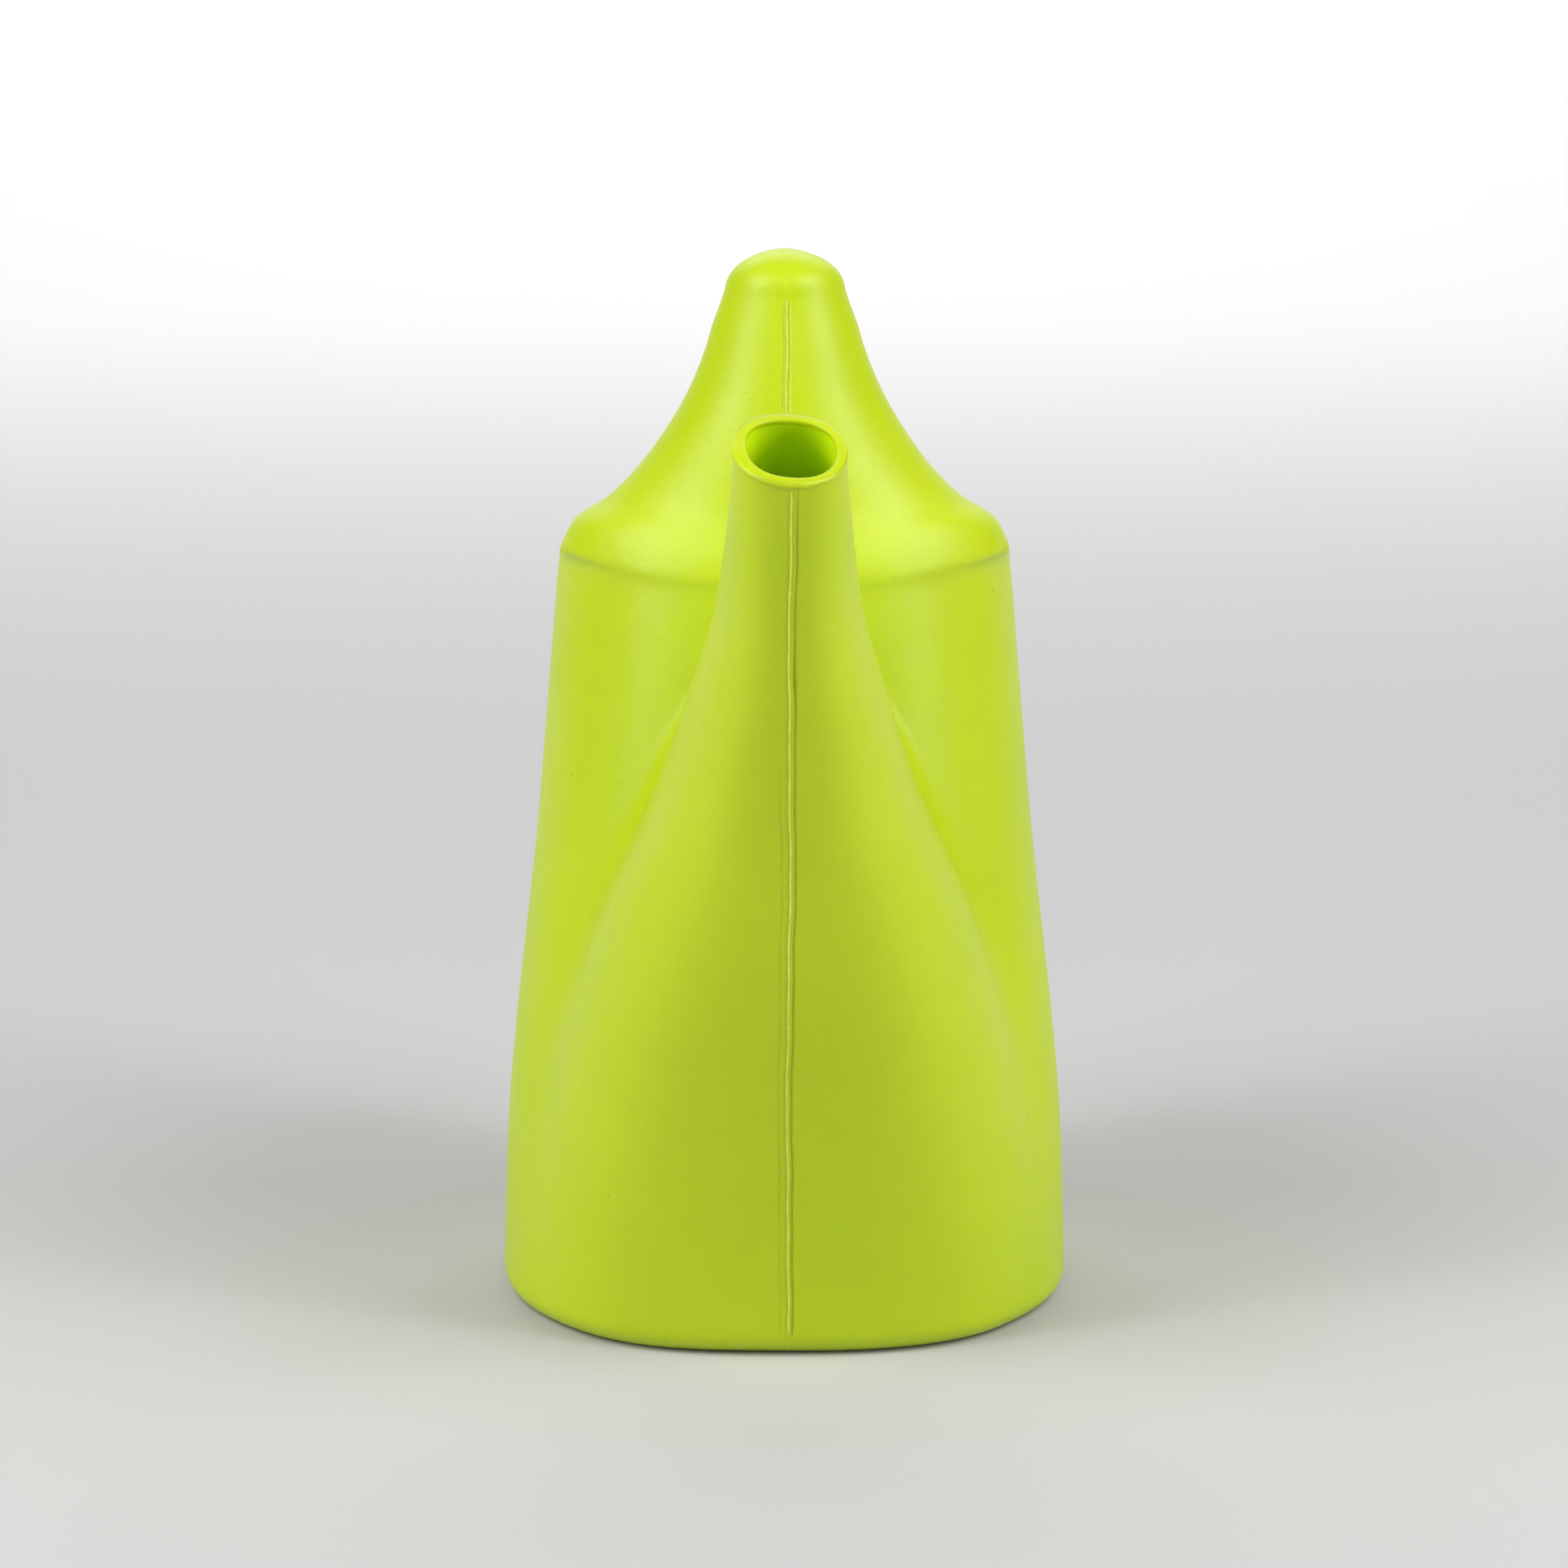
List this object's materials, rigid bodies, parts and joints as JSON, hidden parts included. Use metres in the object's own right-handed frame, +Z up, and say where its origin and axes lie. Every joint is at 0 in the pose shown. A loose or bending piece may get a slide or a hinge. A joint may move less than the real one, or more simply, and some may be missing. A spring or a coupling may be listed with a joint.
{
  "type": "watering can",
  "caption": "Small one-piece plastic watering can with a flared forward-leaning spout, a bell hood that runs into a hollow rear handle, and a filler opening on top.",
  "frame": {"origin": "middle of the overall box in plan, on the plane the foot ring stands on", "axes": "+Z up, the spout points to -Y, the handle to +Y, X runs across the can, and x = 0 is the mould parting plane"},
  "size_m": [0.1302, 0.2574, 0.2415],
  "materials": {
    "moulded_body": "satin lime-green polyethylene, fine moulded grain",
    "trimmed_edge": "lime-green polyethylene, knife-trimmed and slightly glossier",
    "weld_bead": "lime-green polyethylene, pale raised pinch-off line"
  },
  "bodies": {
    "root": {"base_pan_left": "moulded_body", "base_pan_right": "moulded_body", "tank_wall_left": "moulded_body", "tank_wall_right": "moulded_body", "shoulder_left": "moulded_body", "shoulder_right": "moulded_body", "spout_root_left": "moulded_body", "spout_root_right": "moulded_body", "spout_tube_left": "moulded_body", "spout_tube_right": "moulded_body", "hood_left": "moulded_body", "hood_right": "moulded_body", "handle_bridge_left": "moulded_body", "handle_bridge_right": "moulded_body", "handle_grip_left": "moulded_body", "handle_grip_right": "moulded_body", "handle_foot_left": "moulded_body", "handle_foot_right": "moulded_body", "spout_lip": "trimmed_edge", "filler_collar": "trimmed_edge", "front_weld": "weld_bead", "hood_weld": "weld_bead"}
  },
  "joints": []
}
